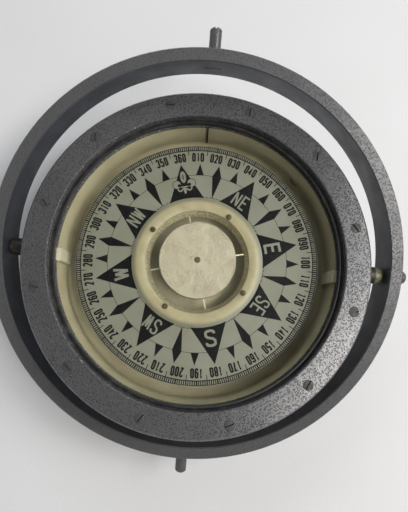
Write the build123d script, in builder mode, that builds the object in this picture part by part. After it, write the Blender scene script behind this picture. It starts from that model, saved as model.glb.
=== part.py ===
"""Liquid magnetic compass bowl in its gimbal ring, the working unit of a ship's binnacle.

Frame: origin at the centre of the bowl's flat base, +Z up, +Y forward (the fore lubber line and
the fore trunnion pin), +X to starboard (the bowl's inner pivot). Millimetres.
At rest the bowl stands on its base and the gimbal ring leans on its pivots, fore side up.
"""

import os

from build123d import *

os.makedirs("parts", exist_ok=True)

# Driving dimensions: bowl and bezel
overall_h = 112.0
bezel_r = 135.0
bezel_bore_r = 115.0
bezel_t = 6.0
chamber_r = 112.0
wall_top_r = 119.0
wall_foot_r = 116.5
flange_t = 12.0
deck_top_z = 60.0
deck_t = 5.0
lower_bore_r = 104.0
base_screw_pitch_r = 109.5
passage_pitch_r = 58.0
passage_r = 3.5
stem_screw_pitch_r = 10.5
clamp_inner_r = 84.0
clamp_outer_r = 92.0
clamp_screw_pitch_r = 88.0
clamp_screw_r = 1.5
clamp_hole_r = 1.6
clamp_thread_r = 1.55
ballast_inner_r = 60.0
ballast_outer_r = 99.0
ballast_h = 13.0
ballast_screw_pitch_r = 80.0

# Glass and its rubber rings
seal_lip_r = 111.4
upper_seal_t = 2.0
glass_r = 121.5
glass_t = 6.0
lower_seal_t = 1.5
glass_pocket_r = 122.5

# Screws
bezel_screw_count = 12
bezel_pitch_r = 125.9
screw_head_r = 3.75
screw_head_h = 2.0
screw_shank_r = 1.95
screw_hole_r = 2.05
slot_w = 1.1
slot_d = 1.1
slot_turns = (0, 100, 130, 170, 140, 50, 25, 62, 5, 130, 85, 90)

# Inner pivots, along X
pivot_z = 86.1
boss_r = 7.0
boss_end_x = 153.4
boss_round_r = 2.8
lug_r = 10.0
pin_r = 4.0
running_gap = 0.05
pin_cap_r = 5.6
pin_cap_h = 9.2

# Filler plug on the fore starboard quarter of the wall
filler_z = 72.0
filler_pad_r = 13.0
filler_thread_r = 5.0
filler_head_r = 10.0

# Gimbal ring and its trunnion pins, leaning about X at rest
ring_lean = 14.0
ring_outer_r = 164.0
ring_inner_r = 153.9
ring_h = 31.0
trunnion_r = 4.75
trunnion_reach = 20.0
trunnion_shank_r = 5.1
trunnion_tip_chamfer = 1.4
trunnion_head_r = 6.5
trunnion_head_t = 3.0

# Card assembly, turned with its north mark 14.2 degrees to port of the fore line
card_heading = 14.2
card_top_z = 82.7
card_t = 0.8
card_r = 100.6
card_bore_r = 43.9
float_r = 31.3
float_top_z = 91.6
float_foot_z = 73.0
skin_t = 0.8
float_ring_outer_r = 54.4
float_ring_crown_r = 43.2
float_ring_throat_r = 40.4
float_ring_throat_z = 75.0
card_screw_pitch_r = 45.6
card_screw_hole_r = 1.05

# Levels worked out from the above
glass_top_z = overall_h - bezel_t - upper_seal_t
glass_foot_z = glass_top_z - glass_t
shelf_z = glass_foot_z - lower_seal_t
flange_top_z = overall_h - bezel_t
flange_foot_z = flange_top_z - flange_t
deck_foot_z = deck_top_z - deck_t
cover_t = 6.0
base_seal_t = 1.0
shell_foot_z = cover_t + base_seal_t
tip_z = 83.0

centre_pivot = (0, 0, pivot_z)
ring_plane = Plane(origin=centre_pivot, x_dir=(1, 0, 0)).rotated((ring_lean, 0, 0))
card_plane = Plane.XY.rotated((0, 0, card_heading))
sides = {"port": -1, "starboard": 1}
ends = {"fore": 1, "aft": -1}
filler_plane = Plane(origin=(0, 0, filler_z), x_dir=(0, 0, 1), z_dir=(1, 1, 0))


def beam_plane(side, distance):
    """A plane square to X at this distance on this side, facing outward, at the pivots' height."""
    return Plane(origin=(side * distance, 0, pivot_z), x_dir=(0, 1, 0), z_dir=(side, 0, 0))


def keel_plane(end, distance):
    """A plane square to the leaning ring's own Y axis at this distance, facing outward."""
    out = ring_plane.y_dir * end
    return Plane(origin=ring_plane.origin + out * distance, x_dir=(1, 0, 0), z_dir=out)


def section(outline):
    """A closed outline of (radius, height) corners, to revolve about Z."""
    with BuildSketch(Plane.XZ) as half:
        with BuildLine():
            Polyline(*outline, close=True)
        make_face()
    return half.sketch


def slotted_screw(head_r, head_h, shank_r, shank_l, groove_w, groove_d, crown=0.0, sink=True):
    """A slotted screw hanging from the XY plane: countersunk, or a flat cheese head."""
    underside = [] if sink else [(head_r, -head_h)]
    with BuildPart() as screw:
        revolve(section([
            (0, crown),
            (head_r * 0.6, crown * 0.75),
            (head_r, 0),
            *underside,
            (shank_r, -head_h),
            (shank_r, -head_h - shank_l),
            (0, -head_h - shank_l),
        ]), axis=Axis.Z)
        with BuildSketch(Plane.XY.offset(crown)):
            Rectangle(2.2 * head_r, groove_w)
        extrude(amount=-groove_d - crown, mode=Mode.SUBTRACT)
    return screw.part


# ---------------------------------------------------------------- the bowl and what closes it

with BuildPart() as bowl_shell:
    revolve(section([
        (lower_bore_r, shell_foot_z),
        (wall_foot_r - 3, shell_foot_z),
        (wall_foot_r, shell_foot_z + 3),
        (wall_top_r, flange_foot_z),
        (chamber_r, flange_foot_z),
        (chamber_r, deck_top_z),
        (0, deck_top_z),
        (0, deck_foot_z),
        (clamp_inner_r, deck_foot_z),
        (clamp_inner_r, deck_foot_z - 5),
        (clamp_outer_r, deck_foot_z - 5),
        (clamp_outer_r, deck_foot_z),
        (lower_bore_r, deck_foot_z),
    ]), axis=Axis.Z)
    inner_corner = bowl_shell.edges().filter_by(GeomType.CIRCLE).filter_by(
        lambda e: abs(e.radius - chamber_r) < 0.01 and abs(e.center().Z - deck_top_z) < 0.01
    )
    fillet(inner_corner, radius=6)
    for side in sides.values():
        with BuildSketch(beam_plane(side, chamber_r + 2)):
            Circle(lug_r)
        extrude(amount=bezel_r - chamber_r - 4)
        with BuildSketch(beam_plane(side, chamber_r + 4)):
            Circle(boss_r + 0.02)
        extrude(amount=bezel_r - chamber_r, mode=Mode.SUBTRACT)
    with BuildSketch(filler_plane.offset(chamber_r + 2)):
        Circle(filler_pad_r)
    extrude(amount=10)
    with BuildSketch(filler_plane.offset(chamber_r - 3)):
        Circle(filler_thread_r + 0.05)
    extrude(amount=20, mode=Mode.SUBTRACT)
    with Locations(Plane.XY.offset(deck_top_z)):
        with PolarLocations(passage_pitch_r, 8):
            Hole(radius=passage_r, depth=deck_t)
        with PolarLocations(stem_screw_pitch_r, 3, start_angle=30):
            Hole(radius=clamp_thread_r, depth=deck_t)
    with Locations(Plane.XY.offset(deck_foot_z - 5).rotated((180, 0, 0))):
        with PolarLocations(clamp_screw_pitch_r, 8):
            Hole(radius=clamp_thread_r, depth=5)
    with Locations(Plane.XY.offset(shell_foot_z).rotated((180, 0, 0))):
        with PolarLocations(base_screw_pitch_r, 8):
            Hole(radius=screw_hole_r, depth=12)
    split(bisect_by=Plane.XY.offset(flange_foot_z), keep=Keep.BOTTOM)
bowl_shell.part.label = "bowl_shell"
export_step(bowl_shell.part, "parts/bowl_shell.step")

# The flange is turned by itself and soldered on top of the wall; it carries the glass and the bezel
with BuildPart() as top_flange:
    revolve(section([
        (chamber_r, flange_foot_z),
        (bezel_r - 1, flange_foot_z),
        (bezel_r, flange_foot_z + 1),
        (bezel_r, flange_top_z),
        (glass_pocket_r, flange_top_z),
        (glass_pocket_r, shelf_z),
        (chamber_r, shelf_z),
    ]), axis=Axis.Z)
    with Locations(Plane.XY.offset(flange_top_z)):
        with PolarLocations(bezel_pitch_r, bezel_screw_count, start_angle=15):
            Hole(radius=screw_hole_r, depth=flange_t - 1)
top_flange.part.label = "top_flange"
export_step(top_flange.part, "parts/top_flange.step")

with BuildPart() as bezel_ring:
    revolve(section([
        (bezel_bore_r, flange_top_z),
        (bezel_r, flange_top_z),
        (bezel_r, overall_h - 1.2),
        (bezel_r - 1.2, overall_h),
        (bezel_bore_r + 0.8, overall_h),
        (bezel_bore_r, overall_h - 0.8),
    ]), axis=Axis.Z)
    with Locations(Plane.XY.offset(overall_h)):
        with PolarLocations(bezel_pitch_r, bezel_screw_count, start_angle=15):
            CounterSinkHole(radius=screw_hole_r, counter_sink_radius=screw_head_r + 0.25, depth=bezel_t)
bezel_ring.part.label = "bezel_ring"
export_step(bezel_ring.part, "parts/bezel_ring.step")

bezel_screw = slotted_screw(screw_head_r, screw_head_h, screw_shank_r, 13.0, slot_w, slot_d, crown=0.25)
with BuildPart() as bezel_screws:
    for number, turn in enumerate(slot_turns):
        place = PolarLocations(bezel_pitch_r, 1, start_angle=105 + 30 * number).locations[0].position
        with Locations(Location((place.X, place.Y, overall_h - 0.1), (0, 0, turn))):
            add(bezel_screw)
bezel_screws.part.label = "bezel_screws"
export_step(bezel_screws.part, "parts/bezel_screws.step")

with BuildPart() as upper_seal:
    revolve(section([
        (seal_lip_r, glass_top_z),
        (glass_r, glass_top_z),
        (glass_r, flange_top_z),
        (bezel_bore_r - 0.9, flange_top_z),
        (bezel_bore_r - 1.5, flange_top_z - 0.8),
        (bezel_bore_r - 2.1, flange_top_z),
        (seal_lip_r + 0.6, flange_top_z),
        (seal_lip_r, flange_top_z - 0.6),
    ]), axis=Axis.Z)
upper_seal.part.label = "upper_seal"
export_step(upper_seal.part, "parts/upper_seal.step")

with BuildPart() as cover_glass:
    with BuildSketch(Plane.XY.offset(glass_foot_z)):
        Circle(glass_r)
    extrude(amount=glass_t)
    chamfer(cover_glass.edges(), length=0.6)
cover_glass.part.label = "cover_glass"
export_step(cover_glass.part, "parts/cover_glass.step")

with BuildPart() as lower_seal:
    with BuildSketch(Plane.XY.offset(shelf_z)):
        Circle(glass_r)
        Circle(chamber_r + 1, mode=Mode.SUBTRACT)
    extrude(amount=lower_seal_t)
lower_seal.part.label = "lower_seal"
export_step(lower_seal.part, "parts/lower_seal.step")

# Lubber line and beam marks on the chamber's wall
mark_foot_z = deck_top_z + 6.5
mark_top_z = shelf_z - 0.2
with BuildPart() as fore_lubber_line:
    with BuildSketch(Plane.XY.offset(mark_foot_z)):
        with Locations((0, chamber_r - 0.72)):
            Rectangle(1.0, 1.4)
    extrude(amount=mark_top_z - mark_foot_z)
fore_lubber_line.part.label = "fore_lubber_line"
export_step(fore_lubber_line.part, "parts/fore_lubber_line.step")

beam_mark_w = 9.8
beam_mark_t = 3.5
for name, side in sides.items():
    with BuildPart() as beam_mark:
        with BuildSketch(Plane.XY.offset(mark_foot_z)):
            Circle(chamber_r - 0.02)
            Circle(chamber_r - beam_mark_t, mode=Mode.SUBTRACT)
            with Locations((side * chamber_r, -beam_mark_w / 2)):
                Rectangle(3 * beam_mark_t, beam_mark_w, mode=Mode.INTERSECT)
        extrude(amount=mark_top_z - mark_foot_z)
        chamfer(beam_mark.edges().group_by(Axis.Z)[0], length=0.6)
    beam_mark.part.label = f"beam_mark_{name}"
    export_step(beam_mark.part, f"parts/beam_mark_{name}.step")

# ---------------------------------------------------------------- pivot stem under the card

with BuildPart() as pivot_stem:
    revolve(section([
        (0, deck_top_z),
        (14, deck_top_z),
        (14, deck_top_z + 3),
        (13, deck_top_z + 4),
        (6.5, deck_top_z + 4),
        (5, deck_top_z + 6),
        (5, tip_z - 10),
        (3, tip_z - 7),
        (3, tip_z - 5),
        (1.25, tip_z - 5),
        (1.25, tip_z - 9),
        (0, tip_z - 9),
    ]), axis=Axis.Z)
    with Locations(Plane.XY.offset(deck_top_z + 4)):
        with PolarLocations(stem_screw_pitch_r, 3, start_angle=30):
            Hole(radius=clamp_hole_r, depth=4)
pivot_stem.part.label = "pivot_stem"
export_step(pivot_stem.part, "parts/pivot_stem.step")

stem_screw = slotted_screw(2.2, 1.5, clamp_screw_r, 7.0, 0.7, 0.7, sink=False)
with BuildPart() as stem_screws:
    with Locations(Plane.XY.offset(deck_top_z + 5.5)):
        with PolarLocations(stem_screw_pitch_r, 3, start_angle=30):
            add(stem_screw)
stem_screws.part.label = "stem_screws"
export_step(stem_screws.part, "parts/stem_screws.step")

with BuildPart() as pivot_point:
    revolve(section([
        (0, tip_z - 9),
        (1.2, tip_z - 9),
        (1.2, tip_z - 2.5),
        (0.2, tip_z - 0.1),
        (0, tip_z),
    ]), axis=Axis.Z)
pivot_point.part.label = "pivot_point"
export_step(pivot_point.part, "parts/pivot_point.step")

# ---------------------------------------------------------------- expansion chamber and base

diaphragm_t = 0.5
diaphragm_top_z = deck_foot_z - 5.1
diaphragm_foot_z = diaphragm_top_z - diaphragm_t
wave_h = 1.6
waves = [(24 + 11 * number, diaphragm_top_z + wave_h * (number % 2)) for number in range(6)]
with BuildPart() as diaphragm:
    revolve(section([
        (0, diaphragm_foot_z),
        (0, diaphragm_top_z),
        *waves,
        (clamp_inner_r, diaphragm_top_z),
        (clamp_outer_r, diaphragm_top_z),
        (clamp_outer_r, diaphragm_foot_z),
        (clamp_inner_r, diaphragm_foot_z),
        *[(r, z - diaphragm_t) for r, z in reversed(waves)],
    ]), axis=Axis.Z)
    with Locations(Plane.XY.offset(diaphragm_top_z)):
        with PolarLocations(clamp_screw_pitch_r, 8):
            Hole(radius=clamp_hole_r, depth=diaphragm_t)
diaphragm.part.label = "diaphragm"
export_step(diaphragm.part, "parts/diaphragm.step")

clamp_t = 3.0
with BuildPart() as diaphragm_clamp:
    with BuildSketch(Plane.XY.offset(diaphragm_foot_z - clamp_t)):
        Circle(clamp_outer_r)
        Circle(clamp_inner_r, mode=Mode.SUBTRACT)
        with PolarLocations(clamp_screw_pitch_r, 8):
            Circle(clamp_hole_r, mode=Mode.SUBTRACT)
    extrude(amount=clamp_t)
diaphragm_clamp.part.label = "diaphragm_clamp"
export_step(diaphragm_clamp.part, "parts/diaphragm_clamp.step")

clamp_head_h = 1.8
clamp_screw = slotted_screw(2.6, clamp_head_h, clamp_screw_r, 7.0, 0.8, 0.8, sink=False)
with BuildPart() as clamp_screws:
    with Locations(Plane.XY.offset(diaphragm_foot_z - clamp_t - clamp_head_h).rotated((180, 0, 0))):
        with PolarLocations(clamp_screw_pitch_r, 8):
            add(clamp_screw)
clamp_screws.part.label = "clamp_screws"
export_step(clamp_screws.part, "parts/clamp_screws.step")

with BuildPart() as base_seal:
    with BuildSketch(Plane.XY.offset(cover_t)):
        Circle(wall_foot_r - 3.5)
        Circle(lower_bore_r + 0.5, mode=Mode.SUBTRACT)
        with PolarLocations(base_screw_pitch_r, 8):
            Circle(screw_hole_r, mode=Mode.SUBTRACT)
    extrude(amount=base_seal_t)
base_seal.part.label = "base_seal"
export_step(base_seal.part, "parts/base_seal.step")

with BuildPart() as base_cover:
    with BuildSketch():
        Circle(wall_foot_r - 2)
    extrude(amount=cover_t)
    chamfer(base_cover.edges(), length=0.8)
    with Locations(Plane.XY.rotated((180, 0, 0))):
        with PolarLocations(base_screw_pitch_r, 8):
            CounterSinkHole(radius=screw_hole_r, counter_sink_radius=screw_head_r + 0.25, depth=cover_t)
    with Locations(Plane.XY.offset(cover_t)):
        with PolarLocations(ballast_screw_pitch_r, 4, start_angle=45):
            Hole(radius=screw_hole_r, depth=4)
base_cover.part.label = "base_cover"
export_step(base_cover.part, "parts/base_cover.step")

base_screw = slotted_screw(screw_head_r, screw_head_h, screw_shank_r, 13.0, slot_w, slot_d)
with BuildPart() as base_screws:
    with Locations(Plane.XY.offset(0.15).rotated((180, 0, 0))):
        with PolarLocations(base_screw_pitch_r, 8):
            add(base_screw)
base_screws.part.label = "base_screws"
export_step(base_screws.part, "parts/base_screws.step")

ballast_top_z = cover_t + ballast_h
with BuildPart() as ballast_ring:
    with BuildSketch(Plane.XY.offset(cover_t)):
        Circle(ballast_outer_r)
        Circle(ballast_inner_r, mode=Mode.SUBTRACT)
    extrude(amount=ballast_h)
    chamfer(ballast_ring.edges().group_by(Axis.Z)[-1], length=1.5)
    with Locations(Plane.XY.offset(ballast_top_z)):
        with PolarLocations(ballast_screw_pitch_r, 4, start_angle=45):
            Hole(radius=screw_hole_r)
ballast_ring.part.label = "ballast_ring"
export_step(ballast_ring.part, "parts/ballast_ring.step")

ballast_head_h = 2.6
ballast_screw = slotted_screw(3.5, ballast_head_h, screw_shank_r, 16.0, slot_w, slot_d, sink=False)
with BuildPart() as ballast_screws:
    with Locations(Plane.XY.offset(ballast_top_z + ballast_head_h)):
        with PolarLocations(ballast_screw_pitch_r, 4, start_angle=45):
            add(ballast_screw)
ballast_screws.part.label = "ballast_screws"
export_step(ballast_screws.part, "parts/ballast_screws.step")

pad_face = filler_plane.offset(chamber_r + 12)
filler_seal_t = 1.0
filler_head_h = 5.0
with BuildPart() as filler_seal:
    with BuildSketch(pad_face):
        Circle(filler_head_r + 1)
        Circle(filler_thread_r + 0.3, mode=Mode.SUBTRACT)
    extrude(amount=filler_seal_t)
filler_seal.part.label = "filler_seal"
export_step(filler_seal.part, "parts/filler_seal.step")

with BuildPart() as filler_plug:
    with BuildSketch(pad_face.offset(-11)):
        Circle(filler_thread_r)
    extrude(amount=11 + filler_seal_t)
    with BuildSketch(pad_face.offset(filler_seal_t)):
        Circle(filler_head_r)
    extrude(amount=filler_head_h)
    chamfer(filler_plug.faces().sort_by(Axis((0, 0, 0), (1, 1, 0)))[-1].edges(), length=0.8)
    with BuildSketch(pad_face.offset(filler_seal_t + filler_head_h)):
        Rectangle(2.1 * filler_head_r, 2 * slot_w)
    extrude(amount=-2.5, mode=Mode.SUBTRACT)
filler_plug.part.label = "filler_plug"
export_step(filler_plug.part, "parts/filler_plug.step")

# ---------------------------------------------------------------- inner pivots, bowl to ring

boss_start_x = chamber_r + 4.2
cap_start_x = ring_outer_r + 0.45
for name, side in sides.items():
    with BuildPart() as pivot_boss:
        with BuildSketch(beam_plane(side, boss_start_x)):
            Circle(boss_r)
        extrude(amount=boss_end_x - boss_start_x)
        with BuildSketch(beam_plane(side, boss_start_x + 6)):
            Circle(pin_r + 0.01)
        extrude(amount=boss_end_x - boss_start_x - 6, mode=Mode.SUBTRACT)
        end_face = pivot_boss.faces().filter_by(Axis.X).sort_by(Axis.X)[::side][-1]
        fillet(end_face.edges().sort_by(SortBy.RADIUS)[-1], radius=boss_round_r)
    pivot_boss.part.label = f"pivot_boss_{name}"
    export_step(pivot_boss.part, f"parts/pivot_boss_{name}.step")

    with BuildPart() as pivot_pin:
        with BuildSketch(beam_plane(side, boss_start_x + 8)):
            Circle(pin_r)
        extrude(amount=cap_start_x - boss_start_x - 8)
        with BuildSketch(beam_plane(side, cap_start_x)):
            Circle(pin_cap_r)
        extrude(amount=pin_cap_h)
        rim = pivot_pin.edges().filter_by(GeomType.CIRCLE).sort_by(Axis.X)[::side][-1]
        fillet(rim, radius=pin_cap_r * 0.8)
    pivot_pin.part.label = f"pivot_pin_{name}"
    export_step(pivot_pin.part, f"parts/pivot_pin_{name}.step")

    with BuildPart() as ring_bush:
        with BuildSketch(beam_plane(side, ring_inner_r)):
            Circle(boss_r - 0.02)
            Circle(pin_r + running_gap, mode=Mode.SUBTRACT)
        extrude(amount=ring_outer_r - ring_inner_r - 0.15)
    ring_bush.part.label = f"ring_bush_{name}"
    export_step(ring_bush.part, f"parts/ring_bush_{name}.step")

# ---------------------------------------------------------------- gimbal ring and trunnions

with BuildPart() as gimbal_ring:
    with BuildSketch(ring_plane):
        Circle(ring_outer_r)
        Circle(ring_inner_r, mode=Mode.SUBTRACT)
    extrude(amount=ring_h / 2, both=True)
    chamfer(gimbal_ring.edges().filter_by(GeomType.CIRCLE), length=0.8)
    for side in sides.values():
        with BuildSketch(beam_plane(side, ring_inner_r - 5)):
            Circle(boss_r)
        extrude(amount=20, mode=Mode.SUBTRACT)
    for end in ends.values():
        with BuildSketch(keel_plane(end, ring_inner_r - 5)):
            Circle(trunnion_shank_r + 0.02)
        extrude(amount=20, mode=Mode.SUBTRACT)
        with BuildSketch(keel_plane(end, ring_inner_r - 5)):
            Circle(trunnion_head_r + 0.1)
        extrude(amount=5 + trunnion_head_t, mode=Mode.SUBTRACT)
gimbal_ring.part.label = "gimbal_ring"
export_step(gimbal_ring.part, "parts/gimbal_ring.step")

trunnion_slot_turn = {"fore": 90, "aft": 0}
for name, end in ends.items():
    with BuildPart() as trunnion_pin:
        with BuildSketch(keel_plane(end, ring_inner_r)):
            Circle(trunnion_head_r)
        extrude(amount=trunnion_head_t - 0.05)
        with BuildSketch(keel_plane(end, ring_inner_r)):
            Rectangle(14, 1.6)
        extrude(amount=1.5, mode=Mode.SUBTRACT)
        with BuildSketch(keel_plane(end, ring_inner_r + 2)):
            Circle(trunnion_shank_r)
        extrude(amount=ring_outer_r - ring_inner_r - 2)
        with BuildSketch(keel_plane(end, ring_outer_r)):
            Circle(trunnion_r)
        extrude(amount=trunnion_reach)
        tip_face = trunnion_pin.faces().sort_by(Axis(ring_plane.origin, ring_plane.y_dir * end))[-1]
        chamfer(tip_face.edges(), length=trunnion_tip_chamfer)
        with BuildSketch(keel_plane(end, ring_outer_r + trunnion_reach)):
            Rectangle(12, 1.3, rotation=trunnion_slot_turn[name])
        extrude(amount=-1.6, mode=Mode.SUBTRACT)
    trunnion_pin.part.label = f"trunnion_pin_{name}"
    export_step(trunnion_pin.part, f"parts/trunnion_pin_{name}.step")

# ---------------------------------------------------------------- the floating card

card_foot_z = card_top_z - card_t
with BuildPart() as card_disc:
    with BuildSketch(card_plane.offset(card_foot_z)):
        Circle(card_r)
        Circle(card_bore_r, mode=Mode.SUBTRACT)
        with PolarLocations(card_screw_pitch_r, 4, start_angle=45):
            Circle(card_screw_hole_r, mode=Mode.SUBTRACT)
    extrude(amount=card_t)
card_disc.part.label = "card_disc"
export_step(card_disc.part, "parts/card_disc.step")

with BuildPart() as card_rim:
    revolve(section([
        (card_r - 3, card_foot_z),
        (card_r - 0.2, card_foot_z),
        (card_r - 0.2, card_foot_z - 2.6),
        (card_r - 0.9, card_foot_z - 2.6),
        (card_r - 0.9, card_foot_z - 0.7),
        (card_r - 3, card_foot_z - 0.7),
    ]), axis=Axis.Z)
card_rim.part.label = "card_rim"
export_step(card_rim.part, "parts/card_rim.step")

crown_h = 1.7
with BuildPart() as float_ring:
    with BuildSketch(Plane.XZ):
        with BuildLine():
            crown_line = ThreePointArc(
                (float_ring_outer_r, card_top_z + 0.5),
                (float_ring_outer_r - 6.4, card_top_z + crown_h),
                (float_ring_crown_r, card_top_z + 0.9),
            )
            Polyline(
                crown_line @ 1,
                (float_ring_throat_r, float_ring_throat_z + 1),
                (float_ring_throat_r - 0.6, float_ring_throat_z),
                (float_ring_throat_r + 0.3, float_ring_throat_z),
                (float_ring_crown_r + 0.5, card_top_z),
                (float_ring_outer_r, card_top_z),
                crown_line @ 0,
            )
        make_face()
    revolve(axis=Axis.Z)
    with Locations(card_plane.offset(card_top_z + 5)):
        with PolarLocations(card_screw_pitch_r, 4, start_angle=45):
            Hole(radius=card_screw_hole_r, depth=6)
float_ring.part.label = "float_ring"
export_step(float_ring.part, "parts/float_ring.step")

card_head_h = 0.7
card_shank_r = card_screw_hole_r - 0.05
float_ring_screw = slotted_screw(2.4, card_head_h, card_shank_r, 4.4, 0.6, 0.5, crown=0.3, sink=False)
with BuildPart() as float_ring_screws:
    with Locations(card_plane.offset(card_top_z + crown_h + card_head_h + 0.05)):
        with PolarLocations(card_screw_pitch_r, 4, start_angle=45):
            add(float_ring_screw)
float_ring_screws.part.label = "float_ring_screws"
export_step(float_ring_screws.part, "parts/float_ring_screws.step")

spoke_h = 4.0
spoke_end_r = float_ring_throat_r - 0.65
with BuildPart() as float_spokes:
    with BuildSketch(card_plane.offset(float_ring_throat_z)):
        with PolarLocations((float_r + spoke_end_r) / 2, 4, start_angle=0):
            Rectangle(spoke_end_r - float_r - 0.05, 0.8)
    extrude(amount=spoke_h)
float_spokes.part.label = "float_spokes"
export_step(float_spokes.part, "parts/float_spokes.step")

cone_foot_r = 12.0
cone_top_r = 7.0
cone_top_z = tip_z + 3.2
cup_r = 3.0
with BuildPart() as float_body:
    revolve(section([
        (float_r, float_foot_z),
        (float_r, float_top_z - 1),
        (float_r - skin_t, float_top_z - 1),
        (float_r - skin_t, float_foot_z + skin_t),
        (cone_foot_r + skin_t, float_foot_z + skin_t),
        (cone_top_r + skin_t, cone_top_z + skin_t),
        (cup_r + 0.02, cone_top_z + skin_t),
        (cup_r + 0.02, cone_top_z),
        (cone_top_r, cone_top_z),
        (cone_foot_r, float_foot_z),
    ]), axis=Axis.Z)
float_body.part.label = "float_body"
export_step(float_body.part, "parts/float_body.step")

with BuildPart() as float_lid:
    revolve(section([
        (1.3, float_top_z - 1),
        (float_r, float_top_z - 1),
        (float_r, float_top_z - 0.4),
        (float_r - 0.4, float_top_z),
        (1.3, float_top_z),
    ]), axis=Axis.Z)
float_lid.part.label = "float_lid"
export_step(float_lid.part, "parts/float_lid.step")

with BuildPart() as lid_screw:
    with Locations(Location((0, 0, float_top_z + 0.9), (0, 0, 35))):
        add(slotted_screw(2.4, 0.9, 1.2, 2.4, 0.6, 0.6, crown=0.3, sink=False))
lid_screw.part.label = "lid_screw"
export_step(lid_screw.part, "parts/lid_screw.step")

with BuildPart() as jewel_cup:
    revolve(section([
        (2.0, tip_z + 0.2),
        (cup_r, tip_z + 0.2),
        (cup_r, cone_top_z + 2.6),
        (0, cone_top_z + 2.6),
        (0, tip_z + 2.2),
        (2.0, tip_z + 2.2),
    ]), axis=Axis.Z)
jewel_cup.part.label = "jewel_cup"
export_step(jewel_cup.part, "parts/jewel_cup.step")

with BuildPart() as jewel:
    revolve(section([
        (0, tip_z + 0.05),
        (1.4, tip_z - 0.2),
        (1.9, tip_z + 0.3),
        (1.9, tip_z + 2.1),
        (0, tip_z + 2.1),
    ]), axis=Axis.Z)
jewel.part.label = "jewel"
export_step(jewel.part, "parts/jewel.step")

# Magnets under the float, parallel to the card's north line
magnet_r = 2.5
magnet_half = 24.0
magnet_z = 68.5
magnet_lanes = (-19, -11, 11, 19)
cradle_y = 17.0
with BuildPart() as magnet_cradles:
    with BuildSketch(card_plane.offset(magnet_z + magnet_r)):
        with Locations((0, cradle_y), (0, -cradle_y)):
            RectangleRounded(46, 8, 2)
    extrude(amount=float_foot_z - magnet_z - magnet_r)
magnet_cradles.part.label = "magnet_cradles"
export_step(magnet_cradles.part, "parts/magnet_cradles.step")

magnet_start = Plane(
    origin=card_plane.y_dir * -magnet_half + Vector(0, 0, magnet_z),
    x_dir=card_plane.x_dir,
    z_dir=card_plane.y_dir,
)
with BuildPart() as magnets:
    with BuildSketch(magnet_start):
        with Locations(*[(lane, 0) for lane in magnet_lanes]):
            Circle(magnet_r)
    extrude(amount=2 * magnet_half)
    chamfer(magnets.edges().filter_by(GeomType.CIRCLE), length=0.4)
magnets.part.label = "magnets"
export_step(magnets.part, "parts/magnets.step")
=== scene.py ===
"""Looks of a ship's magnetic compass bowl in its gimbal ring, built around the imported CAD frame.

Metres, in the frame's axes: +Z up out of the glass, +Y forward through the fore lubber line.
"""

import math

import bmesh
import bpy
from mathutils import Matrix, Vector


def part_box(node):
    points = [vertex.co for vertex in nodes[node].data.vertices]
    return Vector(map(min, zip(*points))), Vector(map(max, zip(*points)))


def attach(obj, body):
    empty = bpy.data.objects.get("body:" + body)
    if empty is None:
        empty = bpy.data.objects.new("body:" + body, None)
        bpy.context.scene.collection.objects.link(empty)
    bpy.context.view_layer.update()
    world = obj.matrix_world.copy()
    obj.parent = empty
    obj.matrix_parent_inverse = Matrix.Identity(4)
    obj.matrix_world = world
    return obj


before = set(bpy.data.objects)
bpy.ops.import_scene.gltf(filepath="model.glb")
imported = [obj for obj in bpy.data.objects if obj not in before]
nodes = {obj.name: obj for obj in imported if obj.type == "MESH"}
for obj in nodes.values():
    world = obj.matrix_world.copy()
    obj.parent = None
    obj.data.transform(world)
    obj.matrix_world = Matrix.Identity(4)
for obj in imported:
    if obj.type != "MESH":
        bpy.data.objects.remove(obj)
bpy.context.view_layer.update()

mm = 0.001
bezel_low, bezel_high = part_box("bezel_ring")
bezel_r = (bezel_high[0] - bezel_low[0]) / 2
card_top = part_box("card_disc")[1][2]
card_heading = math.radians(14.2)

# Surfaces of the CAD pieces, and places on them where the paint changes
chamber_r = 112 * mm
deck_top = 60 * mm
bezel_bore_r = 115 * mm
float_slope_r = 43 * mm
float_rim_r = 51.2 * mm
boss_collar_x = 146.2 * mm


# ---------------------------------------------------------------- materials

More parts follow.
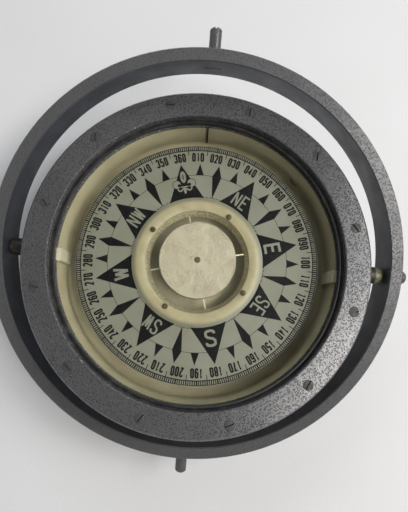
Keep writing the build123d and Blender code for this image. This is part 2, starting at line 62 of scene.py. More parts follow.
class Look:
    """A procedural material: one Principled shader fed by nodes in the object's own space."""

    def __init__(self, name, **sockets):
        self.material = bpy.data.materials.new(name)
        self.material.use_nodes = True
        self.tree = self.material.node_tree
        self.tree.nodes.clear()
        self.output = self.add("OutputMaterial")
        self.shader = self.add("BsdfPrincipled")
        self.tree.links.new(self.shader.outputs[0], self.output.inputs["Surface"])
        self.place = self.add("TexCoord").outputs["Object"]
        for socket, value in sockets.items():
            self.feed(socket.replace("_", " ").title().replace("Ior", "IOR"), value)

    def add(self, kind, inputs=(), **settings):
        """A new node with its settings and inputs."""
        node = self.tree.nodes.new("ShaderNode" + kind)
        for key, value in settings.items():
            setattr(node, key, value)
        for key, value in dict(inputs).items():
            self.join(value, node.inputs[key])
        return node

    def join(self, value, socket):
        """Links a node's output to a socket, or sets a plain value on it."""
        if isinstance(value, bpy.types.NodeSocket):
            self.tree.links.new(value, socket)
        else:
            socket.default_value = value

    def feed(self, socket, value):
        self.join(value, self.shader.inputs[socket])

    def stretch(self, scale, turn=0.0):
        """Object coordinates scaled along each axis, after a turn about Z."""
        inputs = {"Vector": self.place, "Scale": scale, "Rotation": (0, 0, turn)}
        return self.add("Mapping", inputs).outputs[0]

    def noise(self, size, detail=3.0, at=None, distortion=0.0):
        """Noise from 0 to 1 with features of this size."""
        place = self.place if at is None else at
        inputs = {"Vector": place, "Scale": 1 / size, "Detail": detail, "Distortion": distortion}
        return self.add("TexNoise", inputs).outputs["Fac"]

    def cells(self, size, wobble=0.0, feature="SMOOTH_F1"):
        """Distance from the middles of rounded cells of this size."""
        place = self.place
        if wobble:
            inputs = {"Vector": place, "Scale": 0.7 / size, "Detail": 2.0}
            shift = self.add("TexNoise", inputs).outputs["Color"]
            push = self.add("VectorMath", {0: shift, 3: wobble}, operation="SCALE").outputs[0]
            place = self.add("VectorMath", {0: place, 1: push}, operation="ADD").outputs[0]
        inputs = {"Vector": place, "Scale": 1 / size}
        return self.add("TexVoronoi", inputs, feature=feature).outputs["Distance"]

    def between(self, value, low, high, out_low=0.0, out_high=1.0):
        """The value's range from low to high, spread over another range."""
        inputs = {"Value": value, "From Min": low, "From Max": high, "To Min": out_low, "To Max": out_high}
        return self.add("MapRange", inputs).outputs[0]

    def maths(self, operation, first, second=0.0):
        return self.add("Math", {0: first, 1: second}, operation=operation).outputs[0]

    def mixed(self, factor, first, second):
        """One colour turning into another."""
        node = self.add("Mix", data_type="RGBA")
        self.join(factor, node.inputs[0])
        for value, socket in ((first, node.inputs[6]), (second, node.inputs[7])):
            self.join(value if isinstance(value, bpy.types.NodeSocket) else (*value, 1.0), socket)
        return node.outputs[2]

    def radius(self):
        """Distance from the bowl's upright axis."""
        flat = self.add("VectorMath", {0: self.place, 1: (1, 1, 0)}, operation="MULTIPLY").outputs[0]
        return self.add("VectorMath", {0: flat}, operation="LENGTH").outputs["Value"]

    def axis(self, letter):
        """One of the object coordinates."""
        return self.add("SeparateXYZ", {0: self.place}).outputs[letter]

    def bump(self, *layers):
        """Relief on the shader's normal: (height 0 to 1, depth in metres) for each layer."""
        normal = None
        for height, depth in layers:
            node = self.add("Bump", {"Strength": 1.0, "Distance": depth, "Height": height})
            if normal is not None:
                self.join(normal, node.inputs["Normal"])
            normal = node.outputs[0]
        self.feed("Normal", normal)


def hammer_grain(look, size):
    """Hammer finish: flats sprinkled with small round pits about this far apart, and a fine grain."""
    pits = look.between(look.cells(size, wobble=0.35 * size, feature="F1"), 0.44, 0.25)
    fine = look.noise(0.5 * size, 3)
    return pits, fine


def hammer_paint():
    """Grey hammer finish, worn to bare metal here and there along the bezel's bore."""
    look = Look("hammer_paint", metallic=0.25, coat_weight=0.4, coat_roughness=0.24)
    pits, fine = hammer_grain(look, 1.6 * mm)
    cloud = look.noise(28 * mm, 3)
    shade = look.between(cloud, 0.35, 0.65, 0.0, 0.35)
    paint = look.mixed(shade, (0.118, 0.117, 0.120), (0.086, 0.086, 0.091))
    # The pits are darkened in colour: partly the finish's own mottling, partly painted shade in the
    # hollows.
    paint = look.mixed(look.maths("MULTIPLY", pits, 0.6), paint, (0.020, 0.020, 0.022))
    chips = look.between(look.noise(2.6 * mm, 4), 0.60, 0.66)
    edge = look.between(look.radius(), bezel_bore_r + 1.3 * mm, bezel_bore_r + 0.3 * mm)
    port = look.between(look.axis("X"), 0.02, -0.06)
    worn = look.maths("MULTIPLY", look.maths("MULTIPLY", chips, edge), port)
    look.feed("Base Color", look.mixed(worn, paint, (0.34, 0.31, 0.26)))
    look.feed("Roughness", look.between(fine, 0.3, 0.7, 0.20, 0.36))
    look.bump((pits, -0.3 * mm), (fine, 0.10 * mm), (cloud, 0.5 * mm))
    return look.material


def bowl_paint():
    """The same finish outside the bowl, and smooth cream paint in its chamber."""
    look = Look("bowl_paint")
    pits, fine = hammer_grain(look, 1.4 * mm)
    # The pits outside the bowl are darkened in colour: partly the finish's own mottling, partly painted
    # shade in the hollows.
    paint = look.mixed(pits, (0.070, 0.070, 0.074), (0.014, 0.014, 0.016))
    stains = look.between(look.noise(25 * mm, 3), 0.42, 0.75)
    cream = look.mixed(stains, (0.41, 0.365, 0.24), (0.33, 0.285, 0.178))
    chamber = look.maths("LESS_THAN", look.radius(), chamber_r + 0.3 * mm)
    above = look.maths("GREATER_THAN", look.axis("Z"), deck_top - 1 * mm)
    inside = look.maths("MULTIPLY", chamber, above)
    look.feed("Base Color", look.mixed(inside, paint, cream))
    look.feed("Roughness", look.between(inside, 0.0, 1.0, 0.36, 0.5))
    strength = look.between(inside, 0.0, 1.0, 1.0, 0.0)
    look.bump((look.maths("MULTIPLY", pits, strength), -0.16 * mm), (look.noise(9 * mm, 2), 0.15 * mm))
    return look.material


def ring_paint():
    """Grey paint: speckled on the edges that face up, with pits darkened partly as painted shade; smooth
    on the ring's walls, coloured darker and bluer there as painted shade and a painted sky reflection.
    """
    level = 0.098
    look = Look("ring_paint", metallic=0.1, coat_weight=0.15, coat_roughness=0.3)
    pits, fine = hammer_grain(look, 1.35 * mm)
    cloud = look.noise(18 * mm, 3)
    facing = look.add("SeparateXYZ", {0: look.add("TexCoord").outputs["Normal"]})
    upward = look.between(facing.outputs["Z"], 0.5, 0.9)
    # Dark pits on a lighter field on the upward faces: partly the finish's own mottling, partly painted
    # shade in the hollows.
    dark = (level * 0.60, level * 0.61, level * 0.64)
    light = (level * 1.08, level * 1.08, level * 1.10)
    # The walls get a darker, bluer colour than the upward faces: painted shade and a painted reflection of
    # the sky.
    smooth = look.mixed(look.between(cloud, 0.3, 0.7), (level * 0.62, level * 0.67, level * 0.78),
                        (level * 0.42, level * 0.45, level * 0.52))
    speckled = look.mixed(pits, light, dark)
    look.feed("Base Color", look.mixed(upward, smooth, speckled))
    look.feed("Roughness", look.between(cloud, 0.3, 0.7, 0.30, 0.44))
    look.bump((look.maths("MULTIPLY", pits, upward), -0.2 * mm), (fine, 0.07 * mm), (cloud, 0.3 * mm))
    return look.material


def cream_paint(name, colour, strokes, specks=0.5, depth=0.25 * mm):
    """Cream paint laid on by brush: strokes is the ratio of a brush mark's length to its width."""
    look = Look(name, coat_weight=0.1, coat_roughness=0.3)
    marks = look.noise(3.4 * mm, 4, at=look.stretch((1, 1 / strokes, 1), turn=0.9), distortion=1.2)
    cloud = look.noise(14 * mm, 3)
    stipple = look.noise(1.1 * mm, 3)
    dots = look.between(look.noise(1.6 * mm, 2), 0.68, 0.74)
    shade = tuple(c * f for c, f in zip(colour, (0.84, 0.82, 0.76)))
    paint = look.mixed(look.between(cloud, 0.35, 0.7), colour, shade)
    paint = look.mixed(look.between(marks, 0.55, 0.75, 0.0, 0.3), paint, tuple(c * 0.72 for c in colour))
    look.feed("Base Color", look.mixed(look.maths("MULTIPLY", dots, specks), paint, (0.22, 0.17, 0.10)))
    look.feed("Roughness", look.between(marks, 0.3, 0.7, 0.36, 0.55))
    look.bump((marks, depth), (stipple, 0.08 * mm), (cloud, 0.3 * mm))
    return look.material


def lid_paint():
    """Thick cream paint on the lid, left in low curling ridges by the brush, with a few brown specks."""
    look = Look("lid_paint", coat_weight=0.1, coat_roughness=0.3)
    swirl = look.noise(5 * mm, 2, distortion=1.2)
    off_line = look.maths("ABSOLUTE", look.maths("SUBTRACT", swirl, 0.5))
    patch = look.between(look.noise(13 * mm, 2), 0.40, 0.60)
    ridges = look.maths("MULTIPLY", look.between(off_line, 0.055, 0.0), patch)
    cloud = look.noise(14 * mm, 3)
    lumps = look.maths("MULTIPLY", look.noise(2.2 * mm, 3, distortion=1.0), patch)
    specks = look.between(look.noise(1.5 * mm, 2), 0.69, 0.74)
    paint = look.mixed(look.between(cloud, 0.35, 0.7), (0.345, 0.305, 0.225), (0.305, 0.265, 0.185))
    paint = look.mixed(look.maths("MULTIPLY", ridges, 0.06), paint, (0.22, 0.19, 0.13))
    look.feed("Base Color", look.mixed(look.maths("MULTIPLY", specks, 0.6), paint, (0.22, 0.17, 0.10)))
    look.feed("Roughness", look.between(cloud, 0.3, 0.7, 0.36, 0.52))
    grain = look.noise(1.2 * mm, 3)
    look.bump((ridges, 0.22 * mm), (lumps, 0.8 * mm), (grain, 0.07 * mm), (cloud, 0.4 * mm))
    return look.material


def float_paint():
    """The float ring: cream on the crown and inside it, grey-green on the rim, stippled on the slope."""
    look = Look("float_paint", coat_weight=0.1, coat_roughness=0.3)
    cloud = look.noise(12 * mm, 3)
    stipple = look.noise(1.2 * mm, 3)
    cream = look.mixed(look.between(cloud, 0.35, 0.7), (0.31, 0.265, 0.158), (0.25, 0.21, 0.118))
    rim = look.between(look.radius(), float_rim_r - 1.4 * mm, float_rim_r + 1.4 * mm)
    slope = look.between(look.radius(), float_slope_r + 0.6 * mm, float_slope_r - 0.6 * mm)
    colour = look.mixed(rim, cream, (0.140, 0.132, 0.088))
    rough = look.mixed(look.between(stipple, 0.42, 0.58), (0.50, 0.45, 0.30), (0.22, 0.19, 0.115))
    look.feed("Base Color", look.mixed(slope, colour, rough))
    look.feed("Roughness", look.between(cloud, 0.3, 0.7, 0.36, 0.5))
    stippled = look.maths("MULTIPLY", stipple, look.maths("ADD", slope, 0.12))
    look.bump((stippled, 0.35 * mm), (cloud, 0.15 * mm))
    return look.material


def rubber():
    """Black rubber, dusty in patches."""
    look = Look("rubber_look")
    dust = look.between(look.noise(6 * mm, 4), 0.45, 0.75)
    look.feed("Base Color", look.mixed(dust, (0.010, 0.010, 0.011), (0.055, 0.048, 0.042)))
    look.feed("Roughness", look.between(dust, 0.0, 1.0, 0.45, 0.75))
    look.bump((look.noise(0.5 * mm, 3), 0.05 * mm))
    return look.material


def aged_brass(name, tarnish):
    """Dull brass, brown and green where it has tarnished."""
    look = Look(name, metallic=0.85)
    patches = look.between(look.noise(1.8 * mm, 4), 0.5 - tarnish / 2, 0.9 - tarnish / 2)
    green = look.between(look.noise(3.5 * mm, 3), 0.45, 0.7)
    old = look.mixed(green, (0.085, 0.062, 0.034), (0.13, 0.135, 0.08))
    look.feed("Base Color", look.mixed(patches, (0.48, 0.40, 0.20), old))
    look.feed("Roughness", look.between(patches, 0.0, 1.0, 0.32, 0.65))
    look.bump((look.noise(0.6 * mm, 3), 0.06 * mm))
    return look.material


def filler_brass():
    """Tarnished brass outside, cream on the end that shows in the chamber's wall."""
    look = Look("filler_brass")
    stain = look.between(look.noise(2.0 * mm, 4), 0.35, 0.7)
    metal = look.mixed(stain, (0.38, 0.31, 0.16), (0.14, 0.13, 0.08))
    cream = look.mixed(look.noise(3 * mm, 3), (0.42, 0.375, 0.245), (0.37, 0.32, 0.20))
    outside = look.between(look.radius(), chamber_r + 2.5 * mm, chamber_r + 3 * mm)
    look.feed("Base Color", look.mixed(outside, cream, metal))
    look.feed("Metallic", look.between(outside, 0.0, 1.0, 0.0, 0.85))
    look.feed("Roughness", look.between(stain, 0.0, 1.0, 0.35, 0.6))
    look.bump((look.noise(0.6 * mm, 3), 0.06 * mm))
    return look.material


def painted_screws():
    """Slotted screws under the ring's grey paint, rubbed to brown metal on the starboard side."""
    look = Look("painted_screws", metallic=0.25)
    starboard = look.between(look.axis("X"), 0.02, 0.085)
    chips = look.between(look.noise(1.1 * mm, 4), 0.36, 0.52)
    worn = look.maths("MULTIPLY", starboard, chips)
    paint = look.mixed(look.noise(0.6 * mm, 2), (0.050, 0.050, 0.053), (0.085, 0.084, 0.086))
    brown = look.mixed(look.noise(0.9 * mm, 3), (0.062, 0.054, 0.043), (0.034, 0.031, 0.026))
    look.feed("Base Color", look.mixed(worn, paint, brown))
    look.feed("Roughness", look.between(chips, 0.0, 1.0, 0.36, 0.55))
    look.bump((chips, -0.05 * mm), (look.noise(0.7 * mm, 3), 0.08 * mm))
    return look.material


def pivot_metal():
    """The pivots' bosses: dull olive brass to starboard, dark along the collar; the port boss is coloured
    near black as painted shade.
    """
    look = Look("pivot_metal", metallic=0.1)
    stain = look.between(look.noise(2.5 * mm, 4), 0.35, 0.68)
    olive = look.mixed(stain, (0.28, 0.27, 0.17), (0.15, 0.15, 0.085))
    collar = look.between(look.axis("X"), boss_collar_x + 0.4 * mm, boss_collar_x)
    olive = look.mixed(collar, olive, (0.045, 0.038, 0.030))
    # The port boss is coloured near black: painted shade on the side away from the lamps.
    port_shade = look.mixed(stain, (0.05, 0.045, 0.035), (0.022, 0.020, 0.016))
    look.feed("Base Color", look.mixed(look.between(look.axis("X"), -0.05, 0.05), port_shade, olive))
    look.feed("Roughness", look.between(stain, 0.0, 1.0, 0.34, 0.6))
    look.bump((look.noise(0.8 * mm, 3), 0.08 * mm), (stain, -0.05 * mm))
    return look.material


def clear_glass():
    """Flat clear glass, faintly smeared, that lets lamps shine through."""
    look = Look("clear_glass", base_color=(0.96, 0.99, 0.96, 1.0), transmission_weight=1.0, ior=1.5)
    look.feed("Roughness", look.between(look.noise(35 * mm, 3), 0.5, 0.8, 0.0, 0.02))
    path = look.add("LightPath")
    open_air = look.add("BsdfTransparent")
    choice = {0: path.outputs["Is Shadow Ray"], 1: look.shader.outputs[0], 2: open_air.outputs[0]}
    split = look.add("MixShader", choice)
    look.tree.links.new(split.outputs[0], look.output.inputs["Surface"])
    return look.material


def sapphire():
    look = Look("sapphire_look", transmission_weight=0.6, ior=1.76)
    look.feed("Base Color", look.mixed(look.noise(1 * mm, 2), (0.5, 0.08, 0.2), (0.7, 0.2, 0.35)))
    look.feed("Roughness", look.between(look.noise(0.4 * mm, 2), 0.3, 0.7, 0.02, 0.08))
    return look.material


def card_stock(name, colour):
    """Matt greenish-white card, slightly clouded with age; its colour is set far darker than such card, as
    painted shade of the dim, liquid-filled chamber.
    """
    look = Look(name)
    cloud = look.noise(22 * mm, 4)
    fibre = look.noise(0.8 * mm, 4)
    aged = tuple(c * f for c, f in zip(colour, (0.90, 0.88, 0.80)))
    paper = look.mixed(look.between(cloud, 0.4, 0.75), colour, aged)
    look.feed("Base Color", look.mixed(look.between(fibre, 0.45, 0.7, 0.0, 0.12), paper, (0.2, 0.2, 0.15)))
    look.feed("Roughness", look.between(fibre, 0.3, 0.7, 0.5, 0.62))
    look.bump((fibre, 0.03 * mm))
    return look.material


def ink():
    """Black printing ink, thin enough for the card to show through in places."""
    look = Look("card_ink", specular_ior_level=0.1)
    thin = look.between(look.noise(3 * mm, 4), 0.5, 0.85)
    look.feed("Base Color", look.mixed(thin, (0.0016, 0.0016, 0.0017), (0.008, 0.0075, 0.0075)))
    look.feed("Roughness", look.between(look.noise(0.7 * mm, 3), 0.3, 0.7, 0.42, 0.6))
    look.bump((look.noise(0.6 * mm, 3), 0.02 * mm))
    return look.material


def ground_metal(name, colour, grain, roughness):
    """Bare metal with fine machining marks round the upright axis."""
    look = Look(name, metallic=0.9)
    turned = look.add("CombineXYZ", {0: look.radius(), 2: look.axis("Z")}).outputs[0]
    marks = look.noise(grain, 2.0, at=turned)
    dull = look.between(look.noise(5 * mm, 3), 0.4, 0.7)
    look.feed("Base Color", look.mixed(dull, colour, tuple(c * 0.6 for c in colour)))
    look.feed("Roughness", look.between(marks, 0.3, 0.7, roughness - 0.1, roughness + 0.1))
    look.bump((marks, 0.05 * mm))
    return look.material


materials = {
    hammer_paint(): ["bezel_ring", "top_flange"],
    bowl_paint(): ["bowl_shell"],
    ring_paint(): ["gimbal_ring", "trunnion_pin_fore", "trunnion_pin_aft", "pivot_pin_port",
                   "pivot_pin_starboard", "ring_bush_port", "ring_bush_starboard", "base_cover"],
    float_paint(): ["float_ring"],
    cream_paint("body_paint", (0.34, 0.30, 0.20), 1.5): ["float_body"],
    cream_paint("spoke_paint", (0.72, 0.66, 0.48), 1.5, specks=0.2): ["float_spokes"],
    lid_paint(): ["float_lid"],
    cream_paint("mark_paint", (0.50, 0.46, 0.34), 3): ["beam_mark_port", "beam_mark_starboard"],
    rubber(): ["upper_seal", "lower_seal", "base_seal", "filler_seal"],
    painted_screws(): ["bezel_screws"],
    pivot_metal(): ["pivot_boss_port", "pivot_boss_starboard"],
    aged_brass("worn_brass", 0.45): ["base_screws"],
    filler_brass(): ["filler_plug"],
    aged_brass("brown_brass", 1.0): ["float_ring_screws"],
    aged_brass("black_brass", 1.0): ["lid_screw"],
    aged_brass("clean_brass", 0.15): ["pivot_stem", "stem_screws", "jewel_cup", "diaphragm",
                                      "diaphragm_clamp", "clamp_screws", "magnet_cradles",
                                      "ballast_screws"],
    clear_glass(): ["cover_glass"],
    sapphire(): ["jewel"],
    # The card's colour is set far darker than white card: painted shade of the chamber.
    card_stock("card_face_look", (0.150, 0.145, 0.114)): ["card_disc"],
    ground_metal("rim_metal", (0.25, 0.23, 0.16), 0.5 * mm, 0.5): ["card_rim"],
    ground_metal("ground_steel", (0.45, 0.45, 0.46), 0.3 * mm, 0.3): ["pivot_point", "magnets"],
    ground_metal("ballast_metal", (0.22, 0.22, 0.23), 1.2 * mm, 0.6): ["ballast_ring"],
    ink(): ["fore_lubber_line"],
}
for finish, names in materials.items():
    for name in names:
        for slot in nodes[name].material_slots:
            slot.material = finish


# ---------------------------------------------------------------- what is printed on the card

ink_t = 0.06 * mm
print_step = 0.004 * mm
mitre_limit = 0.6


def on_card(bearing, x, y, z):
    """A point on the line of this compass bearing: x to its right, y outward from the card's centre."""
    turn = math.radians(bearing) - card_heading
    return Vector((
        y * math.sin(turn) + x * math.cos(turn),
        y * math.cos(turn) - x * math.sin(turn),
        z,
    ))


def arc(cx, cy, rx, ry, start, end, steps=8):
    """Points of an ellipse's arc, angles in degrees from +x."""
    angles = [math.radians(start + (end - start) * i / steps) for i in range(steps + 1)]
    return [(cx + rx * math.cos(a), cy + ry * math.sin(a)) for a in angles]


def stroke_edges(path, width, closed):
    """Both edges of a pen stroke of this width along a path."""
    points = [Vector(p) for p in path]
    last = len(points) - 1
    left, right = [], []
    for i, here in enumerate(points):
        coming = here - points[i - 1] if i or closed else points[1] - here
        going = points[(i + 1) % len(points)] - here if i < last or closed else coming
        coming, going = coming.normalized(), going.normalized()
        along = (coming + going).normalized()
        across = Vector((-along.y, along.x))
        reach = width / 2 / max(mitre_limit, across.dot(Vector((-going.y, going.x))))
        left.append(here + across * reach)
        right.append(here - across * reach)
    return left, right


class CardPrint:
    """Marks printed on the card, gathered in one mesh of thin closed slabs."""

    def __init__(self, name, level, material, slot):
        self.name, self.material, self.slot = name, material, slot
        self.mesh = bmesh.new()
        self.foot = card_top + level * ink_t
        self.top = self.foot + ink_t

    def slab(self, bearing, outline):
        """A slab with this outline of (x, y) points."""
        count = len(outline)
        tops, feet = [[self.mesh.verts.new(on_card(bearing, x, y, z)) for x, y in outline]
                      for z in (self.top, self.foot)]
        self.mesh.faces.new(tops)
        self.mesh.faces.new(reversed(feet))
        for i in range(count):
            j = (i + 1) % count
            self.mesh.faces.new((tops[i], feet[i], feet[j], tops[j]))

    def stroke(self, bearing, path, width, closed=False, lift=0.0):
        """A slab along a pen stroke."""
        left, right = stroke_edges(path, width, closed)
        corners = [[self.mesh.verts.new(on_card(bearing, x, y, z + lift)) for x, y in edge]
                   for edge in (left, right) for z in (self.top, self.foot)]
        left_top, left_foot, right_top, right_foot = corners
        count = len(left)
        for i in range(count if closed else count - 1):
            j = (i + 1) % count
            self.mesh.faces.new((left_top[i], left_top[j], right_top[j], right_top[i]))
            self.mesh.faces.new((right_foot[i], right_foot[j], left_foot[j], left_foot[i]))
            self.mesh.faces.new((left_foot[i], left_foot[j], left_top[j], left_top[i]))
            self.mesh.faces.new((right_top[i], right_top[j], right_foot[j], right_foot[i]))
        if not closed:
            for i in (0, count - 1):
                self.mesh.faces.new((left_top[i], right_top[i], right_foot[i], left_foot[i]))

    def circle(self, radius, width, steps=180):
        self.stroke(0, arc(0, 0, radius, radius, 0, 360 - 360 / steps, steps - 1), width, closed=True)

    def text(self, bearing, radius, words, size, pen, gap):
        """Upright words across a bearing, tops outward, their feet at this radius."""
        width, height = size
        start = -(len(words) - 1) * (width + gap) / 2
        for number, letter in enumerate(words):
            middle = start + number * (width + gap)
            for layer, (path, closed) in enumerate(glyphs[letter]):
                placed = [(middle + x * (width - pen), radius + pen / 2 + y * (height - pen))
                          for x, y in path]
                self.stroke(bearing, placed, pen, closed, lift=layer * print_step)

    def finish(self):
        bmesh.ops.recalc_face_normals(self.mesh, faces=self.mesh.faces)
        data = bpy.data.meshes.new(self.name)
        self.mesh.to_mesh(data)
        self.mesh.free()
        data.materials.append(self.material)
        piece = bpy.data.objects.new(self.name, data)
        bpy.context.collection.objects.link(piece)
        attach(piece, "card")


# Letters and figures as pen strokes in a box one high and one wide, x from -0.5 to 0.5; W is wider
bend = 0.13
over = arc(0, 1 - bend, 0.5, bend, 180, 0)
under = arc(0, bend, 0.5, bend, 0, -180)
six = [(arc(0, 0.47, 0.5, bend, 180, 0) + under, True), ([(-0.5, 0.42), *over, (0.5, 0.80)], False)]
glyphs = {
    "0": [(over + under, True)],
    "1": [([(-0.22, 0.86), (0.12, 0.99), (0.12, 0.0)], False)],
    "2": [([(-0.5, 0.80), *over, (0.5, 0.70), (0.36, 0.50), (-0.5, 0.0), (0.5, 0.0)], False)],
    "3": [
        ([(-0.5, 0.80), *over, (0.5, 0.66), (0.3, 0.53), (-0.1, 0.53)], False),
        ([(-0.1, 0.53), (0.3, 0.53), (0.5, 0.40), *under, (-0.5, 0.22)], False),
    ],
    "4": [([(0.22, 0.0), (0.22, 1.0), (-0.5, 0.26), (0.5, 0.26)], False)],
    "5": [
        ([(0.45, 1.0), (-0.42, 1.0), (-0.42, 0.48)], False),
        ([*arc(0, 0.48, 0.5, bend, 145, 0), *under, (-0.5, 0.22)], False),
    ],
    "6": six,
    "7": [([(-0.5, 1.0), (0.5, 1.0), (-0.08, 0.0)], False)],
    "8": [
        (arc(0, 0.44, 0.5, bend, 180, 0) + under, True),
        (over + arc(0, 0.66, 0.5, bend, 0, -180), True),
    ],
    "9": [([(-x, 1 - y) for x, y in path], closed) for path, closed in six],
    "N": [([(-0.5, 0), (-0.5, 1)], False), ([(0.5, 0), (0.5, 1)], False), ([(-0.5, 1), (0.5, 0)], False)],
    "E": [([(0.5, 1), (-0.5, 1), (-0.5, 0), (0.5, 0)], False), ([(-0.5, 0.52), (0.38, 0.52)], False)],
    "S": [
        ([(0.5, 0.78), *over[::-1], (-0.5, 0.68), (-0.3, 0.56),
          (0.3, 0.44), (0.5, 0.32), *under, (-0.5, 0.22)], False),
    ],
    "W": [
        ([(-0.6, 1), (-0.3, 0)], False),
        ([(-0.3, 0), (0.0, 0.9)], False),
        ([(0.0, 0.9), (0.3, 0)], False),
        ([(0.3, 0), (0.6, 1)], False),
    ],
}

# Radii of the rose and of the scale, as parts of the bezel's radius, and the sizes of their marks
rose_foot_r = 0.404 * bezel_r
dash_ring_r = 0.4105 * bezel_r
rose_ring_r = 0.5515 * bezel_r
rose_tip_r = 0.627 * bezel_r
figure_foot_r = 0.640 * bezel_r
five_mark_foot_r = 0.682 * bezel_r
scale_ring_r = 0.714 * bezel_r
tick_foot_r = 0.717 * bezel_r
tick_top_r = 0.741 * bezel_r
figure_size = (3.2 * mm, 8.0 * mm)
star_half_angle = 15.6
diamond_half_w = 3.9 * mm
dart_half_w = 3.4 * mm

ink_look = bpy.data.materials["card_ink"]
white_look = bpy.data.materials["card_face_look"]

rose = CardPrint("compass_rose", 0, ink_look, "black_line")
star_foot = arc(0, 0, rose_foot_r, rose_foot_r, 90 - star_half_angle, 90 + star_half_angle, 12)
for point in range(8):
    rose.slab(45 * point, [(0, rose_tip_r), *star_foot[::-1]])
    rose.slab(45 * point + 22.5, [
        (0, rose_tip_r), (diamond_half_w, rose_ring_r), (0, rose_foot_r), (-diamond_half_w, rose_ring_r),
    ])
for point in range(16):
    rose.slab(22.5 * point + 11.25, [
        (0, rose_tip_r), (dart_half_w, rose_ring_r), (-dart_half_w, rose_ring_r),
    ])
rose.circle(rose_ring_r, 0.35 * mm)
for dash in range(120):
    rose.stroke(3 * dash, arc(0, 0, dash_ring_r, dash_ring_r, 91, 89, 2), 0.5 * mm)
rose.finish()

scale = CardPrint("degree_scale", 0, ink_look, "black_line")
scale.circle(scale_ring_r, 0.8 * mm, 360)
scale.circle(tick_top_r, 0.5 * mm, 360)
for degree in range(360):
    tick_w = (1.2 if degree % 10 == 0 else 1.0 if degree % 5 == 0 else 0.8) * mm
    scale.stroke(degree, [(0, tick_foot_r), (0, tick_top_r)], tick_w)
for degree in range(5, 360, 10):
    scale.stroke(degree, [(0, five_mark_foot_r), (0, scale_ring_r)], 0.6 * mm)
for degree in range(10, 370, 10):
    scale.text(degree, figure_foot_r, f"{degree:03d}", figure_size, pen=1.4 * mm, gap=0.4 * mm)
scale.finish()

labels = CardPrint("cardinal_letters", 1, white_look, "card_face")
letters_foot_r = 0.420 * bezel_r
letter_size = (9.0 * mm, 14.0 * mm)
pair_size = (5.9 * mm, 13.0 * mm)
# North has a mark of its own instead of a letter
for point, words in enumerate(["", "NE", "E", "SE", "S", "SW", "W", "NW"]):
    if len(words) == 1:
        labels.text(45 * point, letters_foot_r, words, letter_size, pen=2.1 * mm, gap=0)
    else:
        labels.text(45 * point, letters_foot_r, words, pair_size, pen=1.5 * mm, gap=1.5 * mm)


def leaf(cy, half_w, half_h, steps=10):
    """A leaf or a drop, pointed at both ends, upright on the bearing."""
    turns = [math.pi * i / steps for i in range(steps + 1)]
    right = [(half_w * math.sin(t), cy + half_h * math.cos(t)) for t in turns]
    return right + [(-x, y) for x, y in right[-2:0:-1]]


# The north mark: a plain fleur-de-lis of a leaf, two round petals, a band, two curls and a drop
petal_r = 0.500 * bezel_r
petal_x = 6.3 * mm
petal_size = (3.6 * mm, 3.7 * mm)
curl_r = 0.455 * bezel_r
band_r = 0.481 * bezel_r
leaf_r = 0.545 * bezel_r
for side in (-1, 1):
    labels.slab(0, arc(side * petal_x, petal_r, *petal_size, 0, 345, 23))
    labels.stroke(0, [(side * 1.0 * mm, curl_r + 2.2 * mm), (side * 2.6 * mm, curl_r + 0.6 * mm),
                      (side * 4.2 * mm, curl_r), (side * 5.6 * mm, curl_r + 1.0 * mm),
                      (side * 5.9 * mm, curl_r + 2.4 * mm)], 1.2 * mm, lift=print_step)
labels.slab(0, leaf(leaf_r, 2.5 * mm, 5.2 * mm))
labels.slab(0, leaf(curl_r + 0.2 * mm, 1.1 * mm, 3.0 * mm))
labels.stroke(0, [(-3.2 * mm, band_r), (3.2 * mm, band_r)], 1.0 * mm)
labels.finish()

outlines = CardPrint("north_mark_lines", 2, ink_look, "black_line")
for side in (-1, 1):
    outlines.stroke(0, arc(side * petal_x, petal_r, *petal_size, 0, 345, 23), 0.45 * mm, closed=True)
    outlines.slab(0, arc(side * 4.3 * mm, petal_r - 1.0 * mm, 1.5 * mm, 1.4 * mm, 0, 330, 11))
outlines.stroke(0, [(0, 0.527 * bezel_r), (0, 0.562 * bezel_r)], 0.6 * mm)
for cross_r in (0.538 * bezel_r, 0.552 * bezel_r):
    outlines.stroke(0, [(-1.1 * mm, cross_r), (1.1 * mm, cross_r)], 0.35 * mm, lift=print_step)
outlines.finish()


# ---------------------------------------------------------------- floor, light and camera

def pale_floor():
    look = Look("pale_floor", specular_ior_level=0.2)
    beads = look.cells(4.5 * mm, wobble=2 * mm)
    look.feed("Base Color", look.mixed(look.noise(120 * mm, 2), (0.80, 0.80, 0.80), (0.86, 0.86, 0.87)))
    look.feed("Roughness", look.between(beads, 0.0, 0.8, 0.5, 0.65))
    look.bump((beads, 0.12 * mm))
    return look.material


floor_half = 1.8
floor_data = bpy.data.meshes.new("floor")
floor_corners = [(x * floor_half, y * floor_half, 0) for x, y in ((-1, -1), (1, -1), (1, 1), (-1, 1))]
floor_data.from_pydata(floor_corners, [], [(0, 1, 2, 3)])
floor_data.materials.append(pale_floor())
floor = bpy.data.objects.new("floor", floor_data)
bpy.context.collection.objects.link(floor)

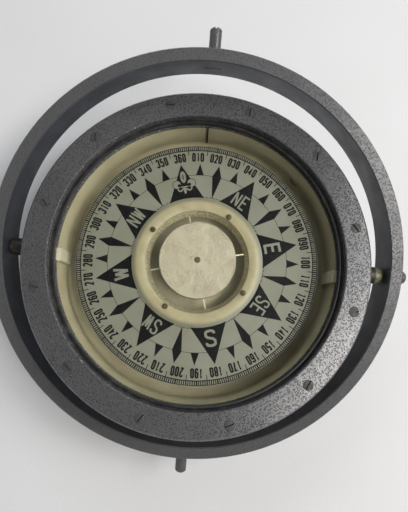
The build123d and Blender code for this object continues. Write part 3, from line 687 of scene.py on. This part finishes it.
# The room is bright low down and dark overhead, where its reflection would veil the glass
world = bpy.data.worlds.new("room")
world.use_nodes = True
sky_nodes = world.node_tree.nodes
backdrop = sky_nodes["Background"]
direction = sky_nodes.new("ShaderNodeTexCoord")
parts = sky_nodes.new("ShaderNodeSeparateXYZ")
height = sky_nodes.new("ShaderNodeMapRange")
for socket, value in (("From Min", 0.15), ("From Max", 0.78), ("To Min", 0.60), ("To Max", 0.05)):
    height.inputs[socket].default_value = value
world.node_tree.links.new(direction.outputs["Generated"], parts.inputs[0])
world.node_tree.links.new(parts.outputs["Z"], height.inputs["Value"])
world.node_tree.links.new(height.outputs[0], backdrop.inputs["Strength"])
backdrop.inputs["Color"].default_value = (0.94, 0.96, 1.0, 1.0)
bpy.context.scene.world = world
bpy.context.scene.view_settings.view_transform = "Standard"


def soft_lamp(name, place, aim, size, watts, colour):
    """A rectangular lamp at a place, facing a point, that isn't seen through the glass."""
    data = bpy.data.lights.new(name, "AREA")
    data.shape = "RECTANGLE"
    data.size, data.size_y = size
    data.energy = watts
    data.color = colour
    lamp = bpy.data.objects.new(name, data)
    lamp.location = place
    lamp.rotation_euler = (Vector(aim) - Vector(place)).to_track_quat("-Z", "Y").to_euler()
    lamp.visible_transmission = False
    bpy.context.collection.objects.link(lamp)


glass = (0.0, 0.0, 0.1)
foot = (0.0, 0.0, 0.0)
soft_lamp("key", (1.14, 0.32, 1.5), glass, size=(0.7, 0.7), watts=14.5, colour=(1.0, 0.99, 0.97))
soft_lamp("window", (0.797, -0.322, 1.70), glass, size=(0.7, 0.4), watts=14.5, colour=(1.0, 0.97, 0.93))
soft_lamp("sky", (-0.5, 1.7, 1.6), foot, size=(1.4, 0.9), watts=10, colour=(0.90, 0.95, 1.0))

# The camera that puts every circle of the bowl where the photo has it
camera_place = (-0.0002, -0.0459, 0.4283)
camera_data = bpy.data.cameras.new("camera")
camera_data.lens = 29.32
camera_data.sensor_width = 36
camera = bpy.data.objects.new("camera", camera_data)
ahead = Vector((0.0154, 0.1462, -0.9891)).normalized()
right = ahead.cross(Vector((-0.0813, 0.9862, 0.1445))).normalized()
upward = right.cross(ahead)
turned = Matrix((right, upward, -ahead)).transposed().to_4x4()
camera.matrix_world = Matrix.Translation(camera_place) @ turned
bpy.context.collection.objects.link(camera)
bpy.context.scene.camera = camera
